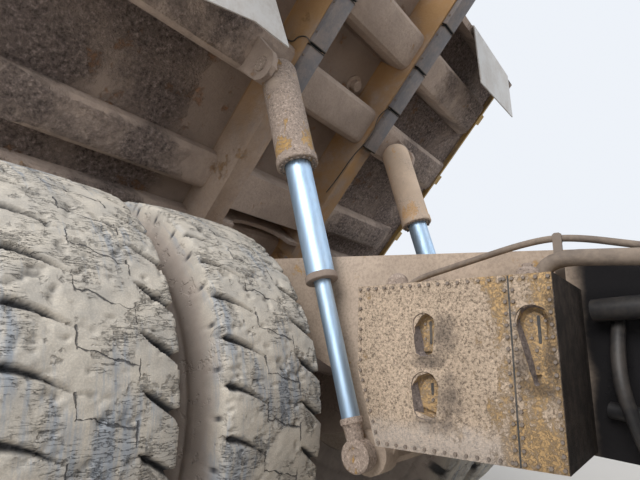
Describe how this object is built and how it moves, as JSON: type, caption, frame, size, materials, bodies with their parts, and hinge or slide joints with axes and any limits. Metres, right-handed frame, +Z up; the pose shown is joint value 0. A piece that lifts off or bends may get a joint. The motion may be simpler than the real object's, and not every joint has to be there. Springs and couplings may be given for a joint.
{
  "type": "rigid mining dump truck",
  "caption": "Rigid-frame mining dump truck with its bed raised on two telescopic hoist cylinders, twin rear wheels, steered front wheels and a deck-mounted cab.",
  "frame": {"origin": "on the ground below the centre of the bounding box, bed raised", "axes": "+X forward, +Y to the driver's left, +Z up"},
  "size_m": [9.7231, 6.08, 9.7081],
  "materials": {
    "chassis_paint": "matte",
    "bed_paint": "matte",
    "running_gear": "matte",
    "cab_paint": "satin",
    "rim_paint": "matte",
    "tyre_rubber": "matte",
    "pad_rubber": "matte",
    "flap_rubber": "matte",
    "hose_rubber": "matte",
    "cylinder_paint": "matte",
    "chrome_rod": "polished",
    "grille_black": "matte",
    "glass": "gloss",
    "lamp_lens": "gloss",
    "interior_plastic": "matte",
    "rail_steel": "satin"
  },
  "bodies": {
    "chassis": {"frame": "chassis_paint", "front_strut_housings": "running_gear", "rear_axle_housing": "running_gear", "rear_struts": "running_gear", "drivetrain": "running_gear", "hydraulic_tank": "chassis_paint", "fuel_tank": "chassis_paint", "tank_caps": "running_gear", "tank_hoses": "hose_rubber", "bumper": "chassis_paint", "headlamps": "lamp_lens", "radiator_grille": "grille_black", "deck": "chassis_paint", "handrails": "rail_steel", "ladders": "rail_steel", "air_cleaners": "chassis_paint", "cab_shell": "cab_paint", "cab_glass": "glass", "cab_interior": "interior_plastic"},
    "bed": {"bed_floor": "bed_paint", "bed_rails": "bed_paint", "bed_pads": "pad_rubber", "bed_side_left": "bed_paint", "bed_side_right": "bed_paint", "bed_front_wall": "bed_paint", "bed_canopy": "bed_paint", "bed_flaps": "flap_rubber"},
    "hoist_barrel_left": {"hoist_barrel_left": "cylinder_paint"},
    "hoist_stage_left": {"hoist_stage_left": "chrome_rod"},
    "hoist_rod_left": {"hoist_rod_left": "chrome_rod"},
    "knuckle_left": {"knuckle_left": "running_gear"},
    "wheel_front_left": {"tyre_front_left": "tyre_rubber", "rim_front_left": "rim_paint"},
    "wheels_rear_left": {"tyres_rear_left": "tyre_rubber", "rims_rear_left": "rim_paint"},
    "cab_door_left": {"cab_door_left": "cab_paint"},
    "hoist_barrel_right": {"hoist_barrel_right": "cylinder_paint"},
    "hoist_stage_right": {"hoist_stage_right": "chrome_rod"},
    "hoist_rod_right": {"hoist_rod_right": "chrome_rod"},
    "knuckle_right": {"knuckle_right": "running_gear"},
    "wheel_front_right": {"tyre_front_right": "tyre_rubber", "rim_front_right": "rim_paint"},
    "wheels_rear_right": {"tyres_rear_right": "tyre_rubber", "rims_rear_right": "rim_paint"},
    "cab_door_right": {"cab_door_right": "cab_paint"}
  },
  "joints": [
    {"name": "bed_tip", "type": "hinge", "parent": "chassis", "child": "bed", "pos_m": [-2.29, 0, 2.482], "axis": [0, -1, 0], "range_deg": [-53.5, 0]},
    {"name": "hoist_turn_left", "type": "hinge", "parent": "bed", "child": "hoist_barrel_left", "pos_m": [-1.02321, 0.932, 3.80768], "axis": [0, -1, 0], "range_deg": [0, 48.11]},
    {"name": "hoist_stage_slide_left", "type": "slide", "parent": "hoist_barrel_left", "child": "hoist_stage_left", "axis": [-0.2743, 0, 0.9616], "range_m": [0, 0.822]},
    {"name": "hoist_rod_slide_left", "type": "slide", "parent": "hoist_stage_left", "child": "hoist_rod_left", "axis": [-0.2743, 0, 0.9616], "range_m": [0, 0.822]},
    {"name": "steer_left", "type": "hinge", "parent": "chassis", "child": "knuckle_left", "pos_m": [2.77, 1.42, 1.34424], "axis": [0, 0, 1], "range_deg": [-30, 30]},
    {"name": "wheel_front_spin_left", "type": "hinge", "parent": "knuckle_left", "child": "wheel_front_left", "pos_m": [2.77, 2.085, 1.34424], "axis": [0, 1, 0], "continuous": true},
    {"name": "wheels_rear_spin_left", "type": "hinge", "parent": "chassis", "child": "wheels_rear_left", "pos_m": [-1.79, 1.87, 1.34424], "axis": [0, 1, 0], "continuous": true},
    {"name": "cab_door_hinge_left", "type": "hinge", "parent": "chassis", "child": "cab_door_left", "pos_m": [2.77, 2.085, 3.8], "axis": [0, 0, 1], "range_deg": [0, 80]},
    {"name": "hoist_turn_right", "type": "hinge", "parent": "bed", "child": "hoist_barrel_right", "pos_m": [-1.02321, -0.932, 3.80768], "axis": [0, -1, 0], "range_deg": [0, 48.11]},
    {"name": "hoist_stage_slide_right", "type": "slide", "parent": "hoist_barrel_right", "child": "hoist_stage_right", "axis": [-0.2743, 0, 0.9616], "range_m": [0, 0.822]},
    {"name": "hoist_rod_slide_right", "type": "slide", "parent": "hoist_stage_right", "child": "hoist_rod_right", "axis": [-0.2743, 0, 0.9616], "range_m": [0, 0.822]},
    {"name": "steer_right", "type": "hinge", "parent": "chassis", "child": "knuckle_right", "pos_m": [2.77, -1.42, 1.34424], "axis": [0, 0, 1], "range_deg": [-30, 30]},
    {"name": "wheel_front_spin_right", "type": "hinge", "parent": "knuckle_right", "child": "wheel_front_right", "pos_m": [2.77, -2.085, 1.34424], "axis": [0, 1, 0], "continuous": true},
    {"name": "wheels_rear_spin_right", "type": "hinge", "parent": "chassis", "child": "wheels_rear_right", "pos_m": [-1.79, -1.87, 1.34424], "axis": [0, 1, 0], "continuous": true},
    {"name": "cab_door_hinge_right", "type": "hinge", "parent": "chassis", "child": "cab_door_right", "pos_m": [2.77, 0.535, 3.8], "axis": [0, 0, -1], "range_deg": [0, 80]}
  ],
  "couplings": [
    {"joint": "hoist_turn_left", "follows": "bed_tip", "ratio": -0.8984},
    {"joint": "hoist_stage_slide_left", "follows": "bed_tip", "m_per_rad": -0.87943},
    {"joint": "hoist_rod_slide_left", "follows": "bed_tip", "m_per_rad": -0.87943},
    {"joint": "hoist_turn_right", "follows": "bed_tip", "ratio": -0.8984},
    {"joint": "hoist_stage_slide_right", "follows": "bed_tip", "m_per_rad": -0.87943},
    {"joint": "hoist_rod_slide_right", "follows": "bed_tip", "m_per_rad": -0.87943},
    {"joint": "steer_right", "follows": "steer_left", "ratio": 1}
  ]
}
